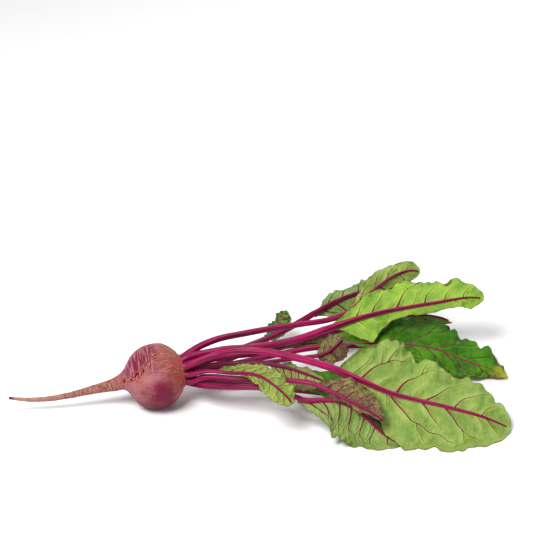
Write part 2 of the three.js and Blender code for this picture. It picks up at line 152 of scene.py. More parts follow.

# Each leaf, in millimetres and degrees, as in the solids, with what only its looks have:
# cuts: rows and columns of the fine blade.
# tone: how dark the stalk is, partly its own colour and partly painted shade on stalks lower and further back
# in the bunch. bays: notches in the margin, as (side, place, depth, half-length) in shares.
# laterals: how many veins leave the midrib on the left and on the right, where VEINS has none for the leaf.
# pucker: how far the blade bulges between its veins. crinkle: the height of its finer creases.
# ruffle: the height of the margin's small waves, and how many there are.
LEAVES = [
    dict(
        name="leaf_01", seat=(OUTER_RING, 130),
        way=[(53, -4, 54), (75, -8, 62), (94, -10, 64), (114, -13, 63), (136, -17, 60), (163, -22, 54),
             (190, -28, 45), (219, -34, 34), (247, -38, 28), (274, -42, 23), (306, -46, 15), (331, -50, 5)],
        blade=5.3, radius=(3.5, 3.3), roll=(25, 20),
        left=(46, -0.3, 6, 0, -10, -25), left_lobe=(0.42, 0.27, 0.17), right=(50, 0.16, 0, -4, -22, -20),
        waves=(3.6, 4, 0.4), widest=0.45, point=0.5, ribs=1, finish="pale", tone=0.05, slot="pale_blade",
        cuts=(200, 122), laterals=(6, 5), pucker=1.6, crinkle=0.55, ruffle=(1.4, 15),
        bays=[("left", 0.2, -0.12, 0.05), ("left", 0.275, 0.1, 0.02), ("left", 0.315, -0.08, 0.025),
              ("left", 0.43, 0.1, 0.02), ("left", 0.6, 0.08, 0.02), ("right", 0.62, 0.06, 0.02)],
    ),
    dict(
        name="leaf_02", seat=(OUTER_RING, 90),
        way=[(45, 12, 47), (66, 21, 46), (88, 29, 43), (110, 39, 40), (137, 52, 39), (164, 60, 45.5),
             (192, 67, 52.5), (219, 73, 57), (247, 78, 60), (275, 82, 63), (302, 86, 65.5), (318, 87, 64)],
        blade=4.9, radius=(3.5, 3.3), roll=(30, 25),
        left=(29, 0, 14, 6, -20, -20), right=(9, 0, -1, -8, 0, -20), right_lobe=(2.3, 0.24, 0.11),
        waves=(3.6, 4, 1.2), widest=0.5, point=0.42, ribs=1, finish="fresh", tone=0.25, slot="pale_blade",
        cuts=(196, 80), laterals=(6, 5), pucker=1.3, crinkle=0.5, ruffle=(1.7, 16),
        bays=[("left", 0.615, 0.22, 0.02), ("left", 0.79, 0.34, 0.035), ("right", 0.93, -0.9, 0.06),
              ("left", 0.42, 0.12, 0.02)],
    ),
    dict(
        name="leaf_03", seat=(OUTER_RING, 50),
        way=[(42, 19, 51), (59, 28, 53.5), (81, 41, 51), (108, 57, 47), (137, 71, 43.5), (168, 82, 42.5),
             (185, 89, 46.5), (200, 98, 55), (219, 109, 67.5), (235, 117, 74), (248, 121, 76),
             (258, 123, 74)],
        blade=5.2, radius=(3.3, 2.6), roll=(45, 30),
        left=(13.5, 0.1, 20, 20, -30, -20), right=(18, 0, -20, -30, -50, -50),
        waves=(2.6, 2.6, 2.2), widest=0.6, point=0.5, ribs=1, finish="pale", tone=0.3, slot="pale_blade",
        cuts=(136, 68), laterals=(4, 4), pucker=1.0, crinkle=0.5, ruffle=(1.3, 11),
        bays=[("left", 0.8, 0.25, 0.04), ("right", 0.72, 0.2, 0.03)],
    ),
    dict(
        name="leaf_04", seat=(OUTER_RING, 10),
        way=[(50, 29, 30), (84, 55, 27), (110, 75, 27), (138, 95, 31.5), (155, 105, 37.5), (168, 112, 42),
             (183, 118, 46.5), (198, 122, 50), (214, 126, 51), (228, 130, 50), (240, 133, 47)],
        blade=3.8, radius=(3.4, 3), roll=(10, 20),
        left=(24, 0, 20, 10, -90, -60), right=(28, 0, -40, -30, -20, -30),
        waves=(2.4, 2.6, 0.8), widest=0.5, point=0.7, ribs=1, finish="shaded", tone=0.85, slot="deep_blade",
        cuts=(120, 70), laterals=(5, 5), pucker=1.2, crinkle=0.6, ruffle=(1.4, 11),
    ),
    dict(
        name="leaf_05", seat=(INNER_RING, 315),
        way=[(50, 10, 32), (80, 17, 34), (113, 30, 34), (142, 40, 34.5), (166, 47, 33), (195, 51, 31),
             (220, 54, 29), (244, 56, 27), (269, 56, 22), (285, 55, 16), (300, 53, 10.5), (322, 47, 6),
             (339, 38, 1)],
        blade=4.6, radius=(2.8, 2.8), roll=(8, 8),
        left=(44, -0.2, 4, 8, -10, -20), right=(28, 0, 0, 0, -20, -20),
        waves=(4, 4, 0.2), widest=0.42, point=0.95, ribs=-1, finish="rich", tone=0.55, slot="deep_blade",
        cuts=(186, 110), laterals=(6, 5), pucker=1.8, crinkle=0.8, ruffle=(2.4, 17),
        bays=[("left", 0.47, 0.16, 0.02), ("left", 0.6, 0.2, 0.022), ("left", 0.69, 0.12, 0.014),
              ("left", 0.79, 0.26, 0.024), ("left", 0.9, 0.4, 0.03), ("left", 0.96, 0.3, 0.02),
              ("right", 0.9, 0.3, 0.03)],
    ),
    dict(
        name="leaf_06", seat=(OUTER_RING, 250),
        way=[(47, -12, 26.5), (69, -22, 31.5), (103, -32, 37), (125, -38, 34), (141, -42, 31), (156, -43, 32),
             (170, -44, 31.5), (183, -47, 27.5), (195, -52, 20.5), (205, -57, 12.5), (213, -62, 7),
             (222, -67, 3.4), (230, -71, 2)],
        blade=3.6, radius=(3.2, 2.4), roll=(10, 10),
        left=(18, 0.3, -20, -15, -20, -10), right=(34, 0, -30, -25, 20, 20),
        waves=(3, 3, 0.6), widest=0.42, point=0.7, ribs=1, finish="dull", tone=0.45, slot="pale_blade",
        cuts=(140, 82), laterals=(4, 7), pucker=1.0, crinkle=0.5, ruffle=(1.4, 13),
    ),
    dict(
        name="leaf_07", seat=(OUTER_RING, 210),
        way=[(48, -9.5, 34.5), (75, -18.5, 38.5), (108, -27, 43), (132, -33, 45.5), (148, -39, 46.5),
             (169, -48, 41), (189, -57, 35), (202, -63, 30), (212, -68, 25)],
        blade=4, radius=(3, 2.3), roll=(55, 40),
        left=(20, 0, 8, 5, -40, -50), right=(6, 0, -20, -20, -40, -40),
        waves=(2, 3, 0.3), widest=0.4, point=0.8, ribs=1, finish="bronze", tone=0.4, slot="bronze_blade",
        cuts=(110, 60), laterals=(6, 5), pucker=0.9, crinkle=0.6, ruffle=(1.1, 11),
    ),
    dict(
        name="leaf_08", seat=(OUTER_RING, 170),
        way=[(48, -11, 42.2), (71, -20, 46.5), (90, -30, 52), (101, -40, 54.5), (112, -50, 52.5),
             (122, -56, 46), (129, -60, 38)],
        blade=0.4, radius=(2.6, 1.8), roll=(50, 20),
        left=(13, -0.35, 20, 0, -30, -20), right=(12, 0.2, -20, 0, -30, -20),
        waves=(2, 5, 0.1), widest=0.76, point=0.5, ribs=1, finish="curly", tone=0.3, slot="pale_blade",
        cuts=(136, 60), laterals=(7, 7), pucker=1.5, crinkle=1.1, ruffle=(1.8, 17),
    ),
    dict(
        name="leaf_09", seat=(INNER_RING, 135),
        way=[(61, -2, 44), (94, -8, 50), (117, -13, 50), (134, -18, 47.5), (148, -23, 44.5), (158, -27, 42)],
        blade=1.5, radius=(2.5, 2), roll=(40, 30),
        left=(7, 0, 0, 0, -40, -40), right=(17, 0, -20, -10, -10, -30),
        waves=(1.8, 3, 0.5), widest=0.5, point=0.5, ribs=1, finish="netted", tone=0.75, slot="pale_blade",
        cuts=(100, 54), laterals=(4, 6), pucker=0.7, crinkle=0.4, ruffle=(0.7, 11),
    ),
    dict(
        name="leaf_10", seat=(INNER_RING, 225),
        way=[(60, 2, 37), (90, 4, 40), (117, 6, 43), (138, 8, 45), (154, 9, 47), (164, 10, 51),
             (171, 12, 56.5), (177, 14, 62)],
        blade=3.9, radius=(2.4, 1.8), roll=(50, 30),
        left=(14, -0.2, 10, 10, -40, -30), right=(14, -0.2, -10, -10, -30, -30),
        waves=(1.6, 2.4, 0.7), widest=0.55, point=0.5, ribs=1, finish="bronze", tone=0.7, slot="bronze_blade",
        cuts=(80, 56), laterals=(3, 3), pucker=0.6, crinkle=0.4, ruffle=(0.7, 8),
    ),
    dict(
        name="leaf_11", seat=(INNER_RING, 45),
        way=[(45, 10, 40), (75, 19, 39.5), (90, 27, 36.5), (108, 40, 33), (142, 60, 31.5), (171, 80, 30),
             (206, 99, 28), (235, 107, 30.5), (260, 110, 31), (280, 111.5, 27), (292, 112, 21)],
        blade=3.3, radius=(2.6, 2.3), roll=(25, 25),
        left=(9.5, 0, -40, -35, -20, -20), right=(15, 0, -25, -30, -20, -30),
        waves=(2.6, 2, 0.1), widest=0.5, point=0.7, ribs=1, finish="pale", tone=0.6, slot="pale_blade",
        cuts=(136, 60), laterals=(5, 6), pucker=0.9, crinkle=0.5, ruffle=(1.4, 12),
    ),
    dict(
        name="leaf_12", seat=(OUTER_RING, 290),
        way=[(55, -1, 22), (90, -3, 21), (125, -5, 18), (160, -7, 14), (195, -9, 10), (225, -11, 6),
             (255, -12, 3.5), (285, -11, 2), (307, -9, 1.2), (321, -7, 1)],
        blade=2.2, radius=(3.4, 2.8), roll=(0, 0),
        left=(38, -0.28, 28, 4, -10, -8), right=(28, 0, 4, 4, -8, -8),
        waves=(2, 3, 0.5), widest=0.5, point=0.8, ribs=-1, finish="deep", tone=0.8, slot="deep_blade",
        cuts=(120, 70), laterals=(6, 6), pucker=0.8, crinkle=0.3, ruffle=(0.9, 13),
    ),
    dict(
        name="leaf_13", seat=(OUTER_RING, 330),
        way=[(50, 31, 21), (79, 62, 13), (98, 84, 10.5), (108, 94, 14), (116, 102, 22.5), (122, 107, 30),
             (126, 109.5, 35)],
        blade=2.7, radius=(2.6, 1.6), roll=(0, 0),
        left=(12, -0.3, -10, -10, -20, -20), right=(13, -0.3, -10, -10, -20, -20),
        waves=(2, 2.5, 0.5), widest=0.55, point=0.5, ribs=-1, finish="deep", tone=0.75, slot="deep_blade",
        cuts=(86, 56), laterals=(4, 4), pucker=0.8, crinkle=0.5, ruffle=(1.1, 9),
    ),
]

# Veins that leave the midrib: (radius, points as shares (along, across), across positive on the left).
VEINS = {
    "leaf_01": {
        "left": [
            (0.5, [(0.065, 0), (0.105, 0.3), (0.14, 0.6), (0.148, 0.87)]),
            (0.85, [(0.126, 0), (0.171, 0.34), (0.212, 0.5), (0.242, 0.54), (0.304, 0.62), (0.358, 0.73),
                    (0.4, 0.95)]),
            (0.5, [(0.212, 0.5), (0.197, 0.75), (0.182, 0.89)]),
            (0.55, [(0.242, 0.54), (0.256, 0.69), (0.308, 0.92)]),
            (0.35, [(0.227, 0), (0.249, 0.13), (0.282, 0.25)]),
            (0.9, [(0.337, 0), (0.365, 0.2), (0.414, 0.41), (0.466, 0.6), (0.56, 0.86), (0.613, 0.92)]),
            (0.5, [(0.466, 0.6), (0.472, 0.75), (0.496, 0.92)]),
            (0.35, [(0.435, 0), (0.459, 0.2), (0.499, 0.4)]),
            (0.75, [(0.496, 0), (0.573, 0.27), (0.646, 0.59), (0.71, 0.74)]),
            (0.6, [(0.663, 0), (0.715, 0.32), (0.798, 0.62), (0.86, 0.9)]),
            (0.35, [(0.752, 0), (0.772, 0.15), (0.793, 0.27)]),
            (0.5, [(0.824, 0), (0.855, 0.36), (0.903, 0.72)]),
        ],
        "right": [
            (0.9, [(0.297, 0), (0.386, -0.27), (0.486, -0.47), (0.576, -0.57), (0.674, -0.68), (0.71, -0.8)]),
            (0.5, [(0.486, -0.47), (0.499, -0.63), (0.545, -0.76)]),
            (0.35, [(0.289, 0), (0.304, -0.22), (0.311, -0.49)]),
            (0.75, [(0.486, 0), (0.541, -0.19), (0.601, -0.41), (0.63, -0.52)]),
            (0.8, [(0.613, 0), (0.669, -0.17), (0.729, -0.43), (0.802, -0.56), (0.865, -0.7)]),
            (0.4, [(0.729, -0.43), (0.747, -0.54), (0.752, -0.68)]),
            (0.4, [(0.798, 0), (0.822, -0.11), (0.843, -0.24)]),
            (0.55, [(0.855, 0), (0.906, -0.22), (0.946, -0.52)]),
        ],
    },
    "leaf_02": {
        "left": [
            (0.85, [(0.186, 0), (0.225, 0.4), (0.255, 0.72), (0.282, 0.9)]),
            (0.8, [(0.297, 0), (0.333, 0.36), (0.383, 0.6), (0.41, 0.8)]),
            (0.35, [(0.386, 0), (0.425, 0.23), (0.469, 0.38)]),
            (0.9, [(0.449, 0), (0.506, 0.42), (0.554, 0.7), (0.61, 0.84), (0.65, 0.93)]),
            (0.4, [(0.554, 0.7), (0.538, 0.82), (0.512, 0.9)]),
            (0.4, [(0.554, 0), (0.585, 0.28), (0.601, 0.52)]),
            (0.75, [(0.628, 0), (0.66, 0.38), (0.707, 0.64), (0.745, 0.76)]),
            (0.6, [(0.749, 0), (0.786, 0.38), (0.827, 0.6)]),
            (0.5, [(0.867, 0), (0.891, 0.38), (0.932, 0.8)]),
        ],
        "right": [
            (0.4, [(0.201, 0), (0.245, -0.4), (0.289, -0.82)]),
            (0.35, [(0.297, 0), (0.325, -0.4), (0.365, -0.66)]),
            (0.4, [(0.62, 0), (0.66, -0.3), (0.69, -0.6)]),
            (0.45, [(0.8, 0), (0.825, -0.3), (0.843, -0.6)]),
            (0.45, [(0.87, 0), (0.904, -0.45), (0.922, -0.85)]),
        ],
    },
    "leaf_05": {
        "left": [
            (0.45, [(0.16, 0), (0.2, 0.3), (0.25, 0.6), (0.3, 0.82)]),
            (0.8, [(0.25, 0), (0.3, 0.3), (0.345, 0.48), (0.4, 0.66), (0.455, 0.92)]),
            (0.95, [(0.369, 0), (0.418, 0.24), (0.482, 0.47), (0.545, 0.6), (0.58, 0.7)]),
            (0.5, [(0.482, 0.47), (0.52, 0.66), (0.55, 0.88)]),
            (0.4, [(0.449, 0), (0.492, 0.13), (0.554, 0.26)]),
            (0.8, [(0.532, 0), (0.564, 0.12), (0.64, 0.38), (0.707, 0.62), (0.762, 0.78)]),
            (0.5, [(0.64, 0.38), (0.652, 0.62), (0.69, 0.88)]),
            (0.6, [(0.721, 0), (0.752, 0.15), (0.807, 0.36), (0.86, 0.6)]),
        ],
    },
}


def unit(vectors):
    return vectors / np.linalg.norm(vectors, axis=-1, keepdims=True)


def ramp(value, low, high):
    """0 below low, 1 above high, and smooth between them."""
    share = np.clip((value - low) / (high - low), 0, 1)
    return share * share * (3 - 2 * share)


def mix(start, end, share):
    return start + (end - start) * share


def smooth_way(points, steps=48):
    """A smooth curve through points: finely spaced points on it, and how far along it each one lies."""
    given = np.array(points, float)
    padded = np.vstack([2 * given[0] - given[1], given, 2 * given[-1] - given[-2]])
    w = (np.arange(steps) / steps)[:, None]
    runs = []
    for p0, p1, p2, p3 in zip(padded, padded[1:], padded[2:], padded[3:]):
        a, b, c = (max(1e-4, np.linalg.norm(q - p)) ** 0.5 for p, q in ((p0, p1), (p1, p2), (p2, p3)))
        leave = ((p1 - p0) / a - (p2 - p0) / (a + b) + (p2 - p1) / b) * b
        arrive = ((p2 - p1) / b - (p3 - p1) / (b + c) + (p3 - p2) / c) * b
        bend = (3 * (p2 - p1) - 2 * leave - arrive) * w**2 + (2 * (p1 - p2) + leave + arrive) * w**3
        runs.append(p1 + leave * w + bend)
    fine = np.vstack([*runs, given[-1:]])
    lengths = np.concatenate([[0], np.cumsum(np.linalg.norm(np.diff(fine, axis=0), axis=1))])
    return fine, lengths


def along(way, shares):
    """Points and directions of a way at shares of its length."""
    fine, lengths = way
    slopes = np.gradient(fine, lengths, axis=0)
    at = np.asarray(shares) * lengths[-1]

    def read(values):
        return np.stack([np.interp(at, lengths, column) for column in values.T], axis=-1)

    return read(fine), unit(read(slopes))


def across(tangents, rolls):
    """Directions upwards and to the left across a way, rolled to the right by angles in degrees."""
    up = unit(UP - tangents * tangents[..., 2:])
    left = np.cross(up, tangents)
    turn = np.radians(rolls)[..., None]
    normal = up * np.cos(turn) - left * np.sin(turn)
    return normal, np.cross(normal, tangents)


def grain(points, scale, seed=0.0):
    """Smooth noise from -1 to 1 at rows of points, with features about scale across."""
    flat = np.asarray(points, float).reshape(-1, 3) / scale + seed
    values = [noise.noise(Vector(p)) for p in flat]
    return np.array(values).reshape(np.asarray(points).shape[:-1]) * 1.6


def with_ends(rows):
    """Rows of values with the first and the last one repeated, for a skin's closed ends."""
    return np.concatenate([rows[:1], rows, rows[-1:]])


def closed_off(rings):
    """Rings of points with one more at each end, drawn to the middle of its neighbour."""
    first, last = (np.broadcast_to(rings[k, :-1].mean(axis=0), rings[:1].shape) for k in (0, -1))
    return np.vstack([first, rings, last])


class Skin:
    """A mesh in the making: skins over rows of points, with flat coordinates and values at each point."""

    def __init__(self, *values):
        self.bm = bmesh.new()
        self.flat = self.bm.loops.layers.uv.new("flat")
        self.layers = {name: self.bm.verts.layers.float.new(name) for name in values}

    def add(self, points, flat, **values):
        """points: rows of points in millimetres. flat: (along, across) in millimetres at each of them."""
        rows, columns = points.shape[0] - 1, points.shape[1] - 1
        made = bmesh.ops.create_grid(self.bm, x_segments=rows, y_segments=columns, size=1)["verts"]
        place = {v: (round((v.co.x + 1) / 2 * rows), round((v.co.y + 1) / 2 * columns)) for v in made}
        for face in {face for vert in made for face in vert.link_faces}:
            face.smooth = True
            for loop in face.loops:
                loop[self.flat].uv = flat[place[loop.vert]] * FLAT_SCALE
        for vert, spot in place.items():
            vert.co = points[spot] * MM
            for name, layer in self.layers.items():
                vert[layer] = values[name][spot]

    def close(self):
        """Joins what meets, which closes tubes along their seam and draws their end rows to a point."""
        bmesh.ops.remove_doubles(self.bm, verts=self.bm.verts, dist=MERGED * MM)
        bmesh.ops.recalc_face_normals(self.bm, faces=self.bm.faces)

    def made(self, name, *finishes):
        mesh = bpy.data.meshes.new(name)
        self.bm.to_mesh(mesh)
        self.bm.free()
        for finish in finishes:
            mesh.materials.append(finish)
        piece = bpy.data.objects.new(name, mesh)
        bpy.context.scene.collection.objects.link(piece)
        return piece


def leaf_way(leaf):
    """A leaf's way from its seat on the crown to its tip, and the share of it at which the blade starts."""
    ring, angle = leaf["seat"]
    normal, left = across(CROWN_AXIS, 0)
    out = left * math.cos(math.radians(angle)) + normal * math.sin(math.radians(angle))
    seat = CROWN_CENTRE + out * ring + CROWN_AXIS * SEAT_GAP
    risen = seat + CROWN_AXIS * SEAT_RUN + out * SEAT_SPREAD * ring
    points = np.array([seat, risen, *leaf["way"]], float)
    way = smooth_way(points)
    before = int(leaf["blade"]) + 2
    foot = mix(points[before], points[before + 1], leaf["blade"] % 1)
    shares = np.linspace(0, 1, 401)
    away = np.linalg.norm(along(way, shares)[0] - foot, axis=1)
    return way, shares[away.argmin()]


# A blade's rows lie at the sines of angles up to this one, so that they close up towards the tip.
QUARTER = math.pi / 2 * ROW_CLOSING


def rib_radius(leaf, u):
    return mix(leaf["radius"][1], RIB_TIP_RADIUS, np.sqrt(u))


def blade_clearance(leaf, u):
    """How far the blade's middle surface lies from its midrib's middle line."""
    rises = [np.radians(mix(leaf[side][2], leaf[side][3], u)) * leaf["ribs"] for side in ("left", "right")]
    lean = np.maximum(0, np.maximum(*rises))
    return (rib_radius(leaf, u) + SOLID_SHEET / 2 + GAP) / np.cos(lean)


def ragged(leaf, side, u):
    """How far rounded lobes, small waves and bays move the margin, as a share of the half-width."""
    count, sign = leaf["ruffle"][1], 1 if side == "left" else -1
    spots = np.stack([u * count, 0 * u + 10 * leaf["waves"][2], 0 * u + 7.3 * sign], axis=-1)
    drift = 0.45 * grain(spots, 2.1, 1.9)
    lobes = np.abs(np.sin(np.pi * (0.9 * count * u + leaf["waves"][2] + drift + 0.3 * sign))) ** 0.6 - 0.75
    size = 0.045 * (1 + 0.8 * grain(spots, 1.7, 3.7)) * ramp(u, 0.05, 0.25)
    bays = sum(depth * np.exp(-(((u - place) / half) ** 2))
               for on, place, depth, half in leaf.get("bays", []) if on == side)
    return size * lobes + 0.012 * grain(spots, 0.28) - bays


def half_width(leaf, side, u):
    """The blade's half-width on one side at shares of its length, with its waved margin's notches."""
    widens, widest = leaf[side][1], leaf["widest"]
    base = mix(WING, 1, ramp(u, widens, widest) ** 0.8 * np.sqrt(np.minimum(1, u / SHOULDER)))
    over = np.maximum(0, (u - widest) / (1 - widest))
    share = base * np.maximum(0, 1 - over**2.4) ** leaf["point"]
    _, cycles, phase = leaf["waves"]
    sign = 1 if side == "left" else -1
    notch = 1 + 0.6 * NOTCH * np.sin(2 * np.pi * (cycles * NOTCHES_PER_WAVE * u + phase + 0.3 * sign))
    height, place, spread = leaf.get(side + "_lobe", (0, 0, 1))
    lobe = height * np.exp(-(((u - place) / spread) ** 2)) * np.minimum(1, u / SHOULDER)
    least = mix(LEAST_HALF_WIDTH, TIP_HALF_WIDTH, ramp(u, 0.85, 1))
    return share, np.maximum(least, leaf[side][0] * (share + lobe) * notch)


def blade_half(leaf, side, u, v):
    """One half of a blade: its points' places across and above its middle, and their run across it."""
    sign = 1 if side == "left" else -1
    _, _, rise_base, rise_tip, curl_base, curl_tip = leaf[side]
    share, reach = half_width(leaf, side, u)
    amplitude, cycles, phase = leaf["waves"]
    height, count = leaf["ruffle"]
    run = v * reach * (1 + ragged(leaf, side, u) * v**8)
    rise = np.radians(mix(rise_base, rise_tip, u))
    curl = np.radians(mix(curl_base, curl_tip, u)) / leaf[side][0]
    curl = np.where(np.abs(curl) < 1e-5, 1e-5, curl)
    turn = rise + curl * run
    over = (np.sin(turn) - np.sin(rise)) / curl
    above = (np.cos(rise) - np.cos(turn)) / curl
    wave = amplitude * v * v * share * np.sin(2 * np.pi * (cycles * u + phase + 0.37 * (sign + 1)))
    beat = 0.7 + 0.3 * np.sin(2 * np.pi * (count * 0.37 * u + phase))
    small_wave = np.sin(2 * np.pi * (count * u + 0.3 * sign))
    wave = wave + height * v**5 * np.minimum(1, share * 2) * beat * small_wave
    return sign * (over - wave * np.sin(turn)), above + wave * np.cos(turn), sign * run


def blade_surface(leaf, way, start):
    """The blade's middle surface: its points, their flat coordinates and their distance from the margin."""
    rows, columns = leaf["cuts"]
    u = (np.sin(np.arange(rows + 1) / rows * QUARTER) / math.sin(QUARTER))[:, None]
    v = np.linspace(-1, 1, columns + 1)[None, :]
    sides = [blade_half(leaf, side, u, np.abs(v)) for side in ("right", "left")]
    over, above, run = (np.where(v < 0, right, left) for right, left in zip(*sides))
    middle, tangents = along(way, mix(start, 1, u[:, 0]))
    normal, left = across(tangents, mix(*leaf["roll"], u[:, 0]))
    middle = middle - normal * (leaf["ribs"] * blade_clearance(leaf, u[:, 0]))[:, None]
    points = middle[:, None] + left[:, None] * over[..., None] + normal[:, None] * above[..., None]
    blade_length = way[1][-1] * (1 - start)
    flat = np.stack([np.broadcast_to(u * blade_length, run.shape), run], axis=-1)
    margin = np.where(v < 0, run[:, :1], run[:, -1:])
    edge = np.abs(margin) - np.abs(run)
    return points, flat, edge


def outward(points):
    """Unit directions square to a surface given by rows of points."""
    return unit(np.cross(np.gradient(points, axis=0), np.gradient(points, axis=1)) + 1e-12)


def read_grid(values, leaf, u, v):
    """Values of a blade's grid between its points, at shares u along and v across."""
    rows, columns = leaf["cuts"]
    row = np.clip(np.arcsin(np.clip(u, 0, 1) * math.sin(QUARTER)) / QUARTER * rows, 0, rows - 1e-6)
    column = np.clip((v + 1) / 2 * columns, 0, columns - 1e-6)
    i, j = row.astype(int), column.astype(int)
    a, b = (row - i)[:, None], (column - j)[:, None]
    return ((values[i, j] * (1 - b) + values[i, j + 1] * b) * (1 - a)
            + (values[i + 1, j] * (1 - b) + values[i + 1, j + 1] * b) * a)


def vein(points, radius):
    """A vein through (share along, share across) points, which thins from radius to its end."""
    way = smooth_way([(u, v, 0) for u, v in points])
    shares = np.linspace(0, 1, max(LEAST_VEIN_ROWS, int(way[1][-1] * VEIN_ROWS)))
    swollen = 1 + 0.35 * np.exp(-9 * shares)
    return along(way, shares)[0][:, :2], mix(VEIN_SCALE * radius, VEIN_TIP_RADIUS, shares**0.8) * swollen


def lateral_veins(leaf, draw):
    """The veins that leave a leaf's midrib on both sides, with their forks and the small ones between."""
    own = VEINS.get(leaf["name"], {})
    veins = [vein(points, radius) for side in own.values() for radius, points in side]
    for side, count in zip(("left", "right"), leaf["laterals"]):
        if side in own:
            continue
        sign = 1 if side == "left" else -1
        first = max(0.03, leaf[side][1] + 0.02)
        for k in range(count):
            share = (k + 0.25 + 0.3 * (sign > 0) + draw.uniform(-0.12, 0.12)) / count
            u = mix(first, 0.93, share**0.92)
            lean = draw.uniform(0.13, 0.19) * (1 - 0.5 * u)
            reach = draw.uniform(0.8, 0.92)
            radius = mix(0.95, 0.45, u) * min(1, leaf[side][0] / 30 + 0.35)
            inner, outer = (u + lean * 0.28, 0.3 * reach), (u + lean * 0.62, 0.62 * reach)
            main = [(u, 0), inner, outer, (min(0.985, u + lean * 1.25), reach)]
            fork = [inner, (inner[0] + lean * 0.12, 0.55 * reach), (inner[0] + lean * 0.1, 0.86 * reach)]
            tip = [outer, (outer[0] + lean * 0.5, 0.72 * reach), (min(0.985, outer[0] + lean * 1.2), 0.8)]
            grown = [(main, 1), (fork, 0.62), (tip, 0.5)]
            between = u + draw.uniform(0.42, 0.58) / count
            if between < 0.9:
                end = (between + lean * 0.5, draw.uniform(0.3, 0.5))
                grown.append(([(between, 0), (between + lean * 0.3, 0.2), end], 0.45))
            veins += [vein([(a, sign * b) for a, b in points], radius * thinner) for points, thinner in grown]
    return veins


def distance_to_veins(leaf, flat, veins):
    """Millimetres from each point of a blade to its nearest vein or the midrib."""
    spots = [read_grid(flat, leaf, path[:, 0], path[:, 1]) for path, _ in veins]
    spots.append(read_grid(flat, leaf, np.linspace(0, 1, 200), np.zeros(200)))
    spots = np.vstack(spots)
    tree = kdtree.KDTree(len(spots))
    for k, (s, t) in enumerate(spots):
        tree.insert((s, t, 0), k)
    tree.balance()
    away = [tree.find((s, t, 0))[2] for s, t in flat.reshape(-1, 2)]
    return np.array(away).reshape(flat.shape[:2])


def make_blade(leaf, way, start, draw):
    """The green sheet of a leaf, puckered between its veins, and the veins' lines on it."""
    points, flat, edge = blade_surface(leaf, way, start)
    veins = lateral_veins(leaf, draw)
    away = distance_to_veins(leaf, flat, veins)
    seed = draw.uniform(0, 50)
    bulge = (1 - np.exp(-((away / 3.2) ** 2))) * leaf["pucker"] * ramp(edge, -0.5, 5)
    crease = leaf["crinkle"] * (grain(points, 7, seed) + 0.5 * grain(points, 3.2, seed)) * ramp(away, 0, 3)
    lift = (crease - leaf["ribs"] * bulge)[..., None]
    points = points + outward(points) * lift
    points = np.clip(points, BOX_LOW + SHEET, BOX_HIGH - SHEET)
    points[..., 2] = np.maximum(SHEET / 2, points[..., 2])
    skin = Skin("edge", "vein", "share")
    share = np.broadcast_to(flat[:, :1, 0] / flat[-1, 0, 0], away.shape)
    skin.add(points, flat, edge=edge, vein=away, share=share)
    finishes = (UNDERSIDES[leaf["finish"]], UPPERSIDES[leaf["finish"]])[::leaf["ribs"]]
    piece = skin.made(leaf["name"] + "_green", *finishes)
    sheet = piece.modifiers.new("sheet", "SOLIDIFY")
    sheet.thickness = SHEET * MM
    sheet.offset = 0
    sheet.material_offset = 1
    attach(piece, "root")
    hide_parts(leaf["name"] + "_blade")
    return points, veins


def add_tube(skin, line, normal, left, reach, lengths, turns, thin, tone):
    """A closed tube round a line. lengths, thin: one for each ring and one for each end."""
    angles = np.linspace(0, 2 * np.pi, reach.shape[1])[:, None]
    round_it = left[:, None] * np.cos(angles) + normal[:, None] * np.sin(angles)
    points = line[:, None] + round_it * reach[..., None]
    points[..., 2] = np.maximum(FLOOR_CLEAR, points[..., 2])
    points = closed_off(points)
    flat = np.stack(np.broadcast_arrays(lengths[:, None], turns), axis=-1)
    thin = np.broadcast_to(thin[:, None], points.shape[:2])
    skin.add(points, flat, thin=thin, tone=np.full(points.shape[:2], tone))


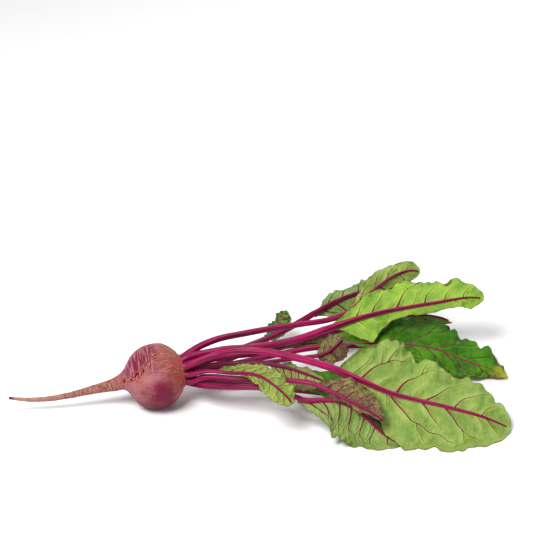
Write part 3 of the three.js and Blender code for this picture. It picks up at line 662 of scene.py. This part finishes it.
def make_stalk(leaf, way, start, blade, veins):
    """A stalk with its midrib and the veins that leave it, in one skin."""
    skin = Skin("thin", "tone")
    ribs = leaf["ribs"]
    rib_shares = mix(start, 1, np.linspace(0, RIB_END, RIB_ROWS)[1:])
    shares = np.concatenate([np.linspace(0, start, STALK_ROWS), rib_shares])
    centres, tangents = along(way, shares)
    risen = np.minimum(1, shares / start)
    tangents = unit(mix(CROWN_AXIS, tangents, ramp(shares, 0, 0.05)[:, None]))
    u = np.clip((shares - start) / (1 - start), 0, 1)
    base, foot = leaf["radius"]
    radius = np.where(shares < start, mix(base, foot, risen), rib_radius(leaf, u))
    radius = mix(radius, VEIN_TIP_RADIUS, ramp(u, 0.75, 1))
    to_sheet = blade_clearance(leaf, u) + SHEET / 2 + RIB_SHOW * ramp(1 - u, 0, 0.3) - radius
    flare = 1 + 0.18 * np.exp(-shares * way[1][-1] / 12)
    rolls = np.where(shares < start, leaf["roll"][0] * risen, mix(*leaf["roll"], u))
    in_blade = ramp(shares, start - 0.01, start + 0.01)
    wander = grain(np.stack([shares * way[1][-1], shares * 0, shares * 0 + leaf["seat"][1]], axis=-1), 18)

    sunk = centres[:1] - CROWN_AXIS * np.array(STALK_SUNK)[:, None]
    centres = np.vstack([sunk, centres])
    tangents = np.vstack([tangents[:1], tangents[:1], tangents])
    radius, to_sheet, flare, rolls, in_blade, wander, u = (
        np.concatenate([rows[:1], rows[:1], rows])[:, None]
        for rows in (radius, to_sheet, flare, rolls, in_blade, wander, u)
    )
    angles = np.linspace(0, 2 * np.pi, STALK_SIDES + 1)[None, :]
    facing = np.maximum(0, np.sin(angles) * -ribs)
    ridges = 0.05 * np.cos(9 * angles + 0.8 * wander) + 0.045 * np.cos(5 * angles + 1)
    channel = 0.3 * facing**6 * (1 - in_blade)
    reach = radius * (flare - channel + ridges * (1 - 0.4 * in_blade)) + to_sheet * facing**1.3 * in_blade
    lengths = np.concatenate([[0], np.cumsum(np.linalg.norm(np.diff(centres, axis=0), axis=1))])
    thin = 0.15 * ramp(u[:, 0], 0, 0.05) + 0.4 * u[:, 0]
    normal, left = across(tangents, rolls[:, 0])
    turns = angles / (2 * np.pi) * 10
    add_tube(skin, centres, normal, left, reach, with_ends(lengths), turns, with_ends(thin), leaf["tone"])
    normals = outward(blade)
    for path, widths in veins:
        on_sheet = read_grid(blade, leaf, path[:, 0], path[:, 1])
        normal = unit(read_grid(normals, leaf, path[:, 0], path[:, 1]))
        proud = ribs * np.maximum(0, widths - SHEET / 2 - VEIN_SHOW)
        add_vein(skin, on_sheet + normal * proud[:, None], normal, widths, leaf["tone"])
    skin.close()
    piece = skin.made(leaf["name"] + "_stalk_and_veins", STALK)
    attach(piece, "root")
    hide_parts(leaf["name"] + "_stalk")


def add_vein(skin, line, normal, widths, tone):
    """A thin closed tube along a vein's line on the blade."""
    left = unit(np.cross(normal, unit(np.gradient(line, axis=0))))
    reach = np.repeat(widths[:, None], VEIN_SIDES + 1, axis=1)
    lengths = np.arange(len(widths) + 2) * 1.0
    turns = np.linspace(0, 2 * np.pi, VEIN_SIDES + 1)[None, :]
    thin = 0.5 + 0.5 * ramp(1 - with_ends(widths), 0.1, 0.75)
    add_tube(skin, line, normal, left, reach, lengths, turns, thin, tone)


TAIL = smooth_way(TAIL_WAY)
TAIL_LENGTH = TAIL[1][-1]


def root_rows():
    """How far along its axis the root's rows lie, positive above the bulb's middle, and their radii."""
    crown, tail_rows = BULB_PROFILE[0][0], ROOT_ROWS // 2
    distances = np.concatenate([
        crown + CAP_HEIGHT * np.linspace(1, 0, CAP_ROWS) ** 0.8,
        np.linspace(crown, -TAIL_START, ROOT_ROWS - tail_rows - CAP_ROWS + 1)[1:],
        np.linspace(-TAIL_START, -TAIL_LENGTH, tail_rows)[1:],
    ])
    points = [(d, r, 0) for d, r in [*BULB_PROFILE, *TAIL_PROFILE, (-TAIL_LENGTH, TAIL_TIP_RADIUS)]]
    fine, _ = smooth_way(points)
    radius = np.interp(-np.minimum(distances, crown), -fine[:, 0], fine[:, 1])
    in_cap = distances > crown
    radius[in_cap] *= np.sqrt(np.linspace(0.0001, 1, in_cap.sum()) ** 0.9)
    return distances, radius


def root_line(distances):
    """Middles of the root's rows and its directions at them."""
    below, slopes = along(TAIL, np.clip(-distances / TAIL_LENGTH, 0, 1))
    middle = np.array([0.0, 0, CENTRE_HEIGHT])
    upwards = unit(CROWN_CENTRE - middle)
    rise = (distances / np.linalg.norm(CROWN_CENTRE - middle))[:, None]
    above = distances[:, None] > 0
    centres = np.where(above, mix(middle, CROWN_CENTRE, rise), below)
    turned = unit(mix(upwards, CROWN_AXIS, ramp(distances, *SHOULDER_TURN)[:, None]))
    return centres, np.where(above, turned, -slopes)


def make_root():
    """The bulb with its crown and its tail, in one skin."""
    distances, radius = root_rows()
    centres, tangents = root_line(distances)
    angles = np.linspace(0, 2 * np.pi, ROOT_SIDES + 1)[None, :]
    swell = 1 + sum(height * np.sin(lobes * angles + phase) for height, lobes, phase in LUMPS)
    normal, left = across(tangents, 0)
    out = left[:, None] * np.cos(angles)[..., None] + normal[:, None] * np.sin(angles)[..., None]
    surface = centres[:, None] + out * (radius[:, None] * swell)[..., None]
    tail = ramp(-distances, 26, 44)[:, None]
    along_it = distances[:, None] + 0 * angles
    ring = np.stack(np.broadcast_arrays(np.cos(angles), np.sin(angles), along_it), axis=-1)
    lumps = 0.35 * grain(surface, 14) * (1 - tail)
    streaks = 0.1 * grain(ring * [7, 7, 0.05], 1, 3) * (1 - 0.5 * tail)
    scales = 0.16 * grain(ring * [1.6, 1.6, 0.75], 1, 9) * tail
    knobs = 0.3 * np.maximum(0, grain(ring * [0.9, 0.9, 0.22], 1, 21) - 0.1) * tail
    steps = 0.3 * np.sin(2.3 * distances)[:, None] + 0.3 * grain(surface, 3)
    collar = ramp(distances, 18, 25)[:, None] * steps
    hoops = 0.13 * grain(ring * [0.7, 0.7, 0.62], 1, 33) * ramp(-distances, 34, 50)[:, None]
    scar = scars(ring, distances, radius)
    cracked = np.maximum(0, 1 - 2.4 * np.abs(grain(surface, 2.8, 41)))
    relief = lumps + streaks + scales + knobs + collar + hoops + scar * (0.25 - 0.9 * cracked)
    narrow = np.minimum(1, radius / 3)[:, None]
    surface = np.clip(surface + out * (relief * narrow)[..., None], BOX_LOW, BOX_HIGH)
    flat = np.stack([along_it, angles / (2 * np.pi) * 100 + 0 * along_it], axis=-1)
    values = {
        "scar": scar, "crack": scar * cracked, "tail": tail + 0 * scar, "place": along_it,
        "crimson_and_shade": patches(CRIMSON_AND_SHADE, distances, angles, surface),
        "dust_and_highlight": patches(DUST_AND_HIGHLIGHT, distances, angles, surface),
    }
    skin = Skin(*values)
    skin.add(closed_off(surface), with_ends(flat), **{name: with_ends(rows) for name, rows in values.items()})
    skin.close()
    piece = skin.made("root_skin", ROOT_SKIN)
    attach(piece, "root")
    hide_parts("root")


def scars(ring, distances, radius):
    """Cracks in the skin where the side roots left the bulb: 1 in a crack, 0 away from it."""
    angle = np.arctan2(ring[..., 1], ring[..., 0])
    depth = np.zeros(angle.shape)
    wander = 1.4 * grain(ring * [6, 6, 0.35], 1, 5)
    for at, turn, run, lean, width in SCARS:
        away = distances[:, None] - at
        off = np.remainder(angle - math.radians(turn) + np.pi, 2 * np.pi) - np.pi
        round_it = off * radius[:, None]
        s = away * math.cos(lean) + round_it * math.sin(lean)
        t = -away * math.sin(lean) + round_it * math.cos(lean) + wander
        depth = np.maximum(depth, np.exp(-((s / run) ** 4) - (t / (2.2 * width)) ** 2))
    return depth


def patches(places, distances, angles, surface):
    """Soft patches on the skin: 1 in the middle of a patch, 0 away from it."""
    share = np.zeros(surface.shape[:2])
    for at, turn, half_length, half_turn in places:
        off = np.remainder(np.degrees(angles) - turn + 180, 360) - 180
        away = ((distances[:, None] - at) / half_length) ** 2 + (off / half_turn) ** 2
        share = np.maximum(share, np.exp(-(away ** 1.3)))
    return np.clip(share * (1 + 0.35 * grain(surface, 9, 17) + 0.2 * grain(surface, 2.5, 29)), 0, 1)


class Finish:
    """A material made of procedural nodes, added one by one."""

    def __init__(self, name):
        self.material = bpy.data.materials.new(name)
        self.material.use_nodes = True
        self.tree = self.material.node_tree
        self.shader = self.tree.nodes["Principled BSDF"]

    def node(self, kind, inputs, output=0, **settings):
        made = self.tree.nodes.new("ShaderNode" + kind)
        for name, value in settings.items():
            setattr(made, name, value)
        for socket, value in inputs.items():
            if isinstance(value, bpy.types.NodeSocket):
                self.tree.links.new(value, made.inputs[socket])
            else:
                made.inputs[socket].default_value = value
        return made.outputs[output]

    def attribute(self, name):
        return self.node("Attribute", {}, output=2, attribute_name=name)

    def place(self):
        """Object coordinates in millimetres."""
        spot = self.node("TexCoord", {}, output=3)
        return self.node("Mapping", {0: spot, 3: [1 / MM] * 3})

    def flat(self, stretch=(1, 1, 1)):
        """Millimetres along and across the piece's own surface, stretched."""
        spot = self.node("UVMap", {}, uv_map="flat")
        return self.node("Mapping", {0: spot, 3: [s / FLAT_SCALE for s in stretch]})

    def noise(self, spot, size, detail=3.0, rough=0.55, warp=0.0):
        return self.node("TexNoise", {"Vector": spot, "Scale": 1 / size, "Detail": detail,
                                      "Roughness": rough, "Distortion": warp})

    def net(self, spot, size):
        return self.node("TexVoronoi", {"Vector": spot, "Scale": 1 / size}, feature="DISTANCE_TO_EDGE")

    def times(self, a, b):
        return self.node("Math", {0: a, 1: b}, operation="MULTIPLY")

    def plus(self, a, b):
        return self.node("Math", {0: a, 1: b}, operation="ADD")

    def larger(self, a, b):
        return self.node("Math", {0: a, 1: b}, operation="MAXIMUM")

    def span(self, value, low, high, start=0.0, end=1.0):
        """value's stretch from low to high, drawn onto start to end smoothly."""
        return self.node("MapRange", {0: value, 1: low, 2: high, 3: start, 4: end},
                         interpolation_type="SMOOTHSTEP")

    def blend(self, share, a, b):
        return self.node("Mix", {0: share, 6: colour(a), 7: colour(b)}, output=2, data_type="RGBA")

    def bump(self, height, millimetres):
        return self.node("Bump", {"Height": height, "Strength": 1.0, "Distance": millimetres * MM})

    def set(self, **sockets):
        for name, value in sockets.items():
            socket = self.shader.inputs[name.replace("_", " ")]
            if isinstance(value, bpy.types.NodeSocket):
                self.tree.links.new(value, socket)
            else:
                socket.default_value = value


def colour(value):
    return value if isinstance(value, bpy.types.NodeSocket) else (*value, 1.0)


VEIN_GREEN = (0.36, 0.47, 0.14)
VEIN_DARK = (0.05, 0.003, 0.014)
PURPLE = (0.15, 0.008, 0.03)
YELLOWED = (0.42, 0.4, 0.025)


def blade_finish(name, light, dark, vein=VEIN_GREEN, tint=PURPLE, net_size=5.5, net_share=0.3, mottle=0.0,
                 rough=0.46, line=None, tip=None, shine=0.28):
    """One side of a leaf: its green, mottled, with a net of fine veins, a tinted margin, tinted veins and
    painted shade in its creases.
    """
    f = Finish(name)
    flat = f.flat()
    bent = f.node("VectorMath", {0: flat, 1: f.node("TexNoise", {"Vector": flat, "Scale": 0.18}, output=1)},
                  operation="ADD")
    broad = f.noise(flat, 24, 2)
    patchy = f.noise(flat, 6, 4, 0.6, 0.4)
    green = f.blend(f.span(broad, 0.34, 0.66), dark, light)
    green = f.blend(f.times(f.span(patchy, 0.42, 0.75), 0.4), green, [c * 0.7 for c in light])
    coarse = f.span(f.net(bent, net_size), 0.0, 0.09, 1.0, 0.0)
    fine = f.span(f.net(bent, net_size * 0.38), 0.0, 0.12, 1.0, 0.0)
    lines = f.larger(coarse, f.times(fine, 0.45))
    green = f.blend(f.times(lines, net_share), green, vein)
    near = f.span(f.attribute("vein"), 0.25, 2.6, 1.0, 0.0)
    green = f.blend(f.times(near, 0.3), green, [min(1, c * 1.4) for c in light])
    between = f.span(f.attribute("vein"), 3.0, 9.0, 0.0, 0.35)
    green = f.blend(between, green, [c * 0.75 for c in dark])
    if line:
        green = f.blend(f.span(f.attribute("vein"), 0.45, 1.05, 0.9, 0.0), green, line)
    if mottle:
        stain = f.times(f.span(f.noise(flat, 9, 4, 0.6, 1.0), 0.38, 0.62), mottle)
        stain = f.larger(stain, f.times(coarse, mottle * 0.7))
        green = f.blend(stain, green, tint)
    if tip:
        faded = f.plus(f.attribute("share"), f.times(f.noise(flat, 8, 3), 0.16))
        green = f.blend(f.span(faded, 0.96, 1.06, 0.0, 0.85), green, tip)
    rim = f.noise(flat, 3, 2)
    margin = f.times(f.span(f.attribute("edge"), 0.15, 0.8, 1.0, 0.0), f.span(rim, 0.3, 0.6))
    green = f.blend(margin, green, tint)
    creased = f.noise(flat, 4.5, 4, 0.55, 0.6)
    # painted shade: darker in the low parts of the creases that the bump below makes
    green = f.blend(f.span(creased, 0.46, 0.3, 0.0, 0.45), green, [c * 0.8 for c in dark])
    relief = f.plus(f.times(lines, 0.4), f.times(creased, 2.2))
    relief = f.plus(relief, f.times(f.noise(flat, 1.1, 3), 0.3))
    f.set(Base_Color=green, Roughness=f.span(patchy, 0.2, 0.8, rough - 0.06, rough + 0.1),
          Normal=f.bump(relief, 0.4), Subsurface_Weight=0.08, Subsurface_Scale=0.0015,
          Subsurface_Radius=(0.5, 1.0, 0.2), Specular_IOR_Level=shine)
    return f.material


def stalk_finish():
    """Glossy magenta with lengthwise stripes, partly painted highlight and shade, darker and browner in the
    thin veins, with painted shade near the crown and on the stalks lower and further back.
    """
    f = Finish("stalk")
    stripes = f.noise(f.flat((0.012, 0.85, 1)), 1, 2, 0.5)
    lines = f.noise(f.flat((0.015, 2.3, 1)), 1, 2, 0.5)
    broad = f.noise(f.place(), 18, 2)
    magenta = f.blend(f.span(stripes, 0.4, 0.62), (0.15, 0.0006, 0.032), (0.55, 0.001, 0.12))
    magenta = f.blend(f.span(broad, 0.46, 0.7, 0.0, 0.45), magenta, (0.2, 0.0006, 0.042))
    # light lines: partly the stalk's own streaks, partly painted highlight along its ridges; dark lines:
    # partly its own streaks, partly painted shade in its grooves
    magenta = f.blend(f.span(lines, 0.56, 0.64, 0.0, 0.8), magenta, (0.76, 0.06, 0.27))
    magenta = f.blend(f.span(lines, 0.44, 0.34, 0.0, 0.85), magenta, (0.06, 0.0005, 0.014))
    # darker stalks: partly their own colour, partly painted shade on those lower and further back in the
    # bunch
    magenta = f.blend(f.times(f.attribute("tone"), 0.8), magenta, (0.1, 0.0006, 0.026))
    # painted shade: darker near the crown, where the stalks shade each other
    from_crown = f.node("SeparateXYZ", {0: f.place()}, output=0)
    magenta = f.blend(f.span(from_crown, 26, 75, 0.5, 0.0), magenta, (0.13, 0.0006, 0.03))
    magenta = f.blend(f.span(f.attribute("thin"), 0.1, 0.9, 0.0, 0.92), magenta, (0.12, 0.001, 0.026))
    relief = f.plus(f.times(stripes, 0.6), f.times(lines, 0.4))
    f.set(Base_Color=magenta, Roughness=f.span(stripes, 0.2, 0.8, 0.26, 0.4), Normal=f.bump(relief, 1.1),
          Specular_IOR_Level=0.24, Subsurface_Weight=0.03, Subsurface_Scale=0.002,
          Subsurface_Radius=(1, 0.2, 0.3))
    return f.material


def root_finish():
    """Dusty rose skin with crimson patches that are partly painted shade, a painted highlight high on the
    front, painted shade towards the bottom, tan towards the crown and on the tail, and dark cracks.
    """
    f = Finish("root_skin")
    place = f.place()
    streaks = f.noise(f.flat((0.1, 1.1, 1)), 1, 4, 0.65, 0.3)
    hoops = f.noise(f.flat((0.62, 0.07, 1)), 1, 3, 0.55, 0.25)
    rings = f.noise(f.flat((0.75, 0.035, 1)), 1, 3, 0.6)
    broad = f.noise(place, 22, 3, 0.5, 0.6)
    cloudy = f.noise(place, 7, 4, 0.6, 0.5)
    specks = f.noise(place, 2.2, 4, 0.75)
    dust = f.noise(place, 1.1, 2, 0.6)
    where = f.attribute("place")
    crimson_and_shade = f.attribute("crimson_and_shade")
    dust_and_highlight = f.attribute("dust_and_highlight")
    around = f.node("SeparateXYZ", {0: f.flat()}, output=1)
    east = f.node("SeparateXYZ", {0: place}, output=0)
    height = f.node("SeparateXYZ", {0: place}, output=2)

    rose = f.blend(f.span(broad, 0.38, 0.62), (0.17, 0.015, 0.042), (0.31, 0.075, 0.092))
    rose = f.blend(f.span(cloudy, 0.5, 0.7, 0.0, 0.6), rose, (0.4, 0.14, 0.145))
    rose = f.blend(f.span(cloudy, 0.46, 0.3, 0.0, 0.7), rose, (0.15, 0.01, 0.035))
    rose = f.blend(f.span(streaks, 0.42, 0.66, 0.0, 0.45), rose, (0.4, 0.14, 0.12))
    rose = f.blend(f.span(specks, 0.53, 0.66, 0.0, 0.6), rose, (0.13, 0.009, 0.03))
    rose = f.blend(f.span(dust, 0.55, 0.68, 0.0, 0.55), rose, (0.5, 0.25, 0.22))
    # pale with dust, and in the first patch, high on the front, a painted highlight where the lamp's broad
    # reflection falls
    rose = f.blend(f.times(dust_and_highlight, f.span(specks, 0.35, 0.6, 0.15, 0.55)), rose, (0.48, 0.19, 0.21))
    # deep crimson patches: the skin's own colour, and partly painted shade on the front and underneath
    rose = f.blend(f.span(crimson_and_shade, 0.0, 0.8, 0.0, 0.95), rose, (0.16, 0.003, 0.03))
    # painted shade, with some of the skin's own colour: darker towards the bottom of the bulb
    rose = f.blend(f.span(height, 3, 22, 0.75, 0.0), rose, (0.12, 0.004, 0.022))

    lean = f.plus(east, f.times(height, 0.55))
    ragged_lean = f.plus(lean, f.times(f.noise(place, 8, 4, 0.6), 26.0))
    tan = f.blend(f.span(streaks, 0.38, 0.62), (0.22, 0.04, 0.034), (0.43, 0.16, 0.1))
    tan = f.blend(f.span(cloudy, 0.5, 0.62, 0.0, 0.6), tan, (0.3, 0.03, 0.03))
    tan = f.blend(f.span(specks, 0.5, 0.66, 0.0, 0.5), tan, (0.46, 0.2, 0.11))
    tan = f.blend(f.span(specks, 0.47, 0.36, 0.0, 0.7), tan, (0.17, 0.02, 0.022))
    skin = f.blend(f.span(ragged_lean, 42, 58, 0.0, 0.85), rose, tan)
    ember = f.times(f.span(east, 16, 26), f.span(cloudy, 0.42, 0.56))
    skin = f.blend(f.times(f.times(ember, f.span(specks, 0.4, 0.54)), 0.8), skin,
                   (0.62, 0.08, 0.065))

    hooped = f.blend(f.span(hoops, 0.47, 0.62), (0.16, 0.012, 0.04), (0.42, 0.17, 0.16))
    patch = f.times(f.span(where, -32, -25), f.span(where, 6, -5))
    patch = f.times(patch, f.times(f.span(around, 16, 23), f.span(around, 43, 34)))
    skin = f.blend(f.times(patch, 0.8), skin, hooped)

    tail = f.blend(f.span(rings, 0.4, 0.56), (0.17, 0.045, 0.038), (0.36, 0.165, 0.125))
    tail = f.blend(f.span(streaks, 0.5, 0.68, 0.0, 0.5), tail, (0.44, 0.23, 0.175))
    tail = f.blend(f.span(cloudy, 0.52, 0.64, 0.0, 0.6), tail, (0.24, 0.04, 0.045))
    tail = f.blend(f.span(where, -70, -125, 0.0, 0.6), tail, (0.47, 0.26, 0.19))
    tail = f.blend(f.span(rings, 0.4, 0.32, 0.0, 0.8), tail, (0.16, 0.03, 0.03))
    tail = f.blend(f.span(specks, 0.6, 0.7, 0.0, 0.6), tail, (0.14, 0.02, 0.025))
    skin = f.blend(f.times(f.attribute("tail"), 0.95), skin, tail)
    skin = f.blend(f.span(where, -137.5, -134.5, 0.95, 0.0), skin, (0.12, 0.002, 0.03))

    flaked = f.times(f.attribute("scar"), f.span(specks, 0.36, 0.54, 0.0, 0.95))
    skin = f.blend(flaked, skin, (0.4, 0.15, 0.1))
    split = f.plus(f.attribute("crack"), f.times(specks, 0.4))
    skin = f.blend(f.span(split, 0.32, 0.5, 0.0, 0.95), skin, (0.24, 0.008, 0.016))
    skin = f.blend(f.span(split, 0.55, 0.8, 0.0, 0.92), skin, (0.045, 0.003, 0.007))
    relief = f.plus(f.times(streaks, 0.5), f.times(specks, 0.35))
    relief = f.plus(relief, f.times(f.times(rings, f.attribute("tail")), 1.2))
    f.set(Base_Color=skin, Roughness=f.span(broad, 0.3, 0.7, 0.42, 0.55), Normal=f.bump(relief, 0.45),
          Specular_IOR_Level=0.17)
    return f.material


STALK = stalk_finish()
ROOT_SKIN = root_finish()
DEEP_UNDER = blade_finish("deep_underside", (0.22, 0.36, 0.06), (0.14, 0.27, 0.035))
UNDERSIDES = {
    "pale": blade_finish("pale_underside", (0.29, 0.4, 0.07), (0.165, 0.29, 0.036)),
    "fresh": blade_finish("fresh_underside", (0.3, 0.49, 0.035), (0.145, 0.33, 0.014)),
    "curly": blade_finish("curly_underside", (0.3, 0.42, 0.07), (0.13, 0.26, 0.025), (0.13, 0.03, 0.03),
                          net_size=4.2, net_share=0.4, mottle=0.12),
    "dull": blade_finish("dull_underside", (0.22, 0.33, 0.065), (0.125, 0.23, 0.035), net_share=0.4),
    "shaded": blade_finish("shaded_underside", (0.2, 0.31, 0.07), (0.1, 0.2, 0.035)),
    "deep": DEEP_UNDER,
    "rich": DEEP_UNDER,
    "netted": blade_finish("netted_underside", (0.28, 0.4, 0.08), (0.17, 0.29, 0.04), (0.2, 0.035, 0.05),
                           net_size=4.5, net_share=0.6, mottle=0.3),
    "bronze": blade_finish("bronze_underside", (0.27, 0.27, 0.07), (0.15, 0.17, 0.035), (0.2, 0.045, 0.05),
                           (0.09, 0.01, 0.02), net_size=3.8, net_share=0.6, mottle=0.8),
}


def upper_finish(name, light, dark, vein, shine, **more):
    """The upper side of a leaf, which is smoother, with dark lines for its veins."""
    return blade_finish(name, light, dark, vein, rough=0.44, line=VEIN_DARK, shine=shine, **more)


DEEP_UPPER = upper_finish("deep_upper", (0.075, 0.255, 0.006), (0.02, 0.105, 0.003), (0.11, 0.29, 0.02), 0.1)
RICH_UPPER = upper_finish("rich_upper", (0.07, 0.25, 0.005), (0.018, 0.105, 0.002), (0.11, 0.29, 0.02), 0.1,
                          tip=YELLOWED)
FRESH_UPPER = upper_finish("fresh_upper", (0.14, 0.34, 0.022), (0.055, 0.2, 0.01), (0.18, 0.35, 0.04), 0.2)
BRONZE_UPPER = upper_finish("bronze_upper", (0.13, 0.19, 0.035), (0.06, 0.09, 0.018), (0.11, 0.02, 0.025),
                            0.2, tint=(0.08, 0.008, 0.02), net_share=0.45, mottle=0.7)
UPPERSIDES = {
    "pale": FRESH_UPPER, "fresh": FRESH_UPPER, "dull": FRESH_UPPER, "curly": FRESH_UPPER,
    "netted": FRESH_UPPER, "shaded": DEEP_UPPER, "deep": DEEP_UPPER, "rich": RICH_UPPER,
    "bronze": BRONZE_UPPER,
}


def make_floor():
    """A plain pale floor."""
    bm = bmesh.new()
    bmesh.ops.create_grid(bm, x_segments=1, y_segments=1, size=4)
    mesh = bpy.data.meshes.new("floor")
    bm.to_mesh(mesh)
    bm.free()
    floor = bpy.data.objects.new("floor", mesh)
    bpy.context.scene.collection.objects.link(floor)
    f = Finish("floor")
    speck = f.noise(f.place(), 300, 2)
    f.set(Base_Color=f.blend(speck, (0.93, 0.93, 0.93), (0.95, 0.95, 0.95)), Roughness=0.9,
          Specular_IOR_Level=0.1)
    mesh.materials.append(f.material)


def make_softbox(name, place, aim, size, power):
    lamp = bpy.data.lights.new(name, "AREA")
    lamp.size = size
    lamp.energy = power
    light = bpy.data.objects.new(name, lamp)
    light.location = place
    light.rotation_euler = (Vector(aim) - Vector(place)).to_track_quat("-Z", "Y").to_euler()
    bpy.context.scene.collection.objects.link(light)


def make_studio():
    """Soft daylight from all round, with one large softbox over the root's side and a weaker one behind."""
    world = bpy.data.worlds.new("studio")
    world.use_nodes = True
    background = world.node_tree.nodes["Background"].inputs
    background["Color"].default_value = (1, 1, 1, 1)
    background["Strength"].default_value = SURROUNDINGS
    scene = bpy.context.scene
    scene.world = world
    scene.view_settings.view_transform = "Standard"
    for softbox in SOFTBOXES:
        make_softbox(*softbox)
    lens = bpy.data.cameras.new("camera")
    lens.sensor_width = SENSOR_WIDTH
    lens.lens = FOCAL_PIXELS / PICTURE_SIDE * SENSOR_WIDTH
    camera = bpy.data.objects.new("camera", lens)
    camera.location = CAMERA_PLACE
    camera.rotation_euler = (math.radians(90 - CAMERA_DROP), 0, 0)
    scene.collection.objects.link(camera)
    scene.camera = camera


make_studio()
make_floor()
make_root()
for number, leaf in enumerate(LEAVES):
    draw = np.random.default_rng(FIRST_SEED + number)
    way, start = leaf_way(leaf)
    blade, veins = make_blade(leaf, way, start, draw)
    make_stalk(leaf, way, start, blade, veins)
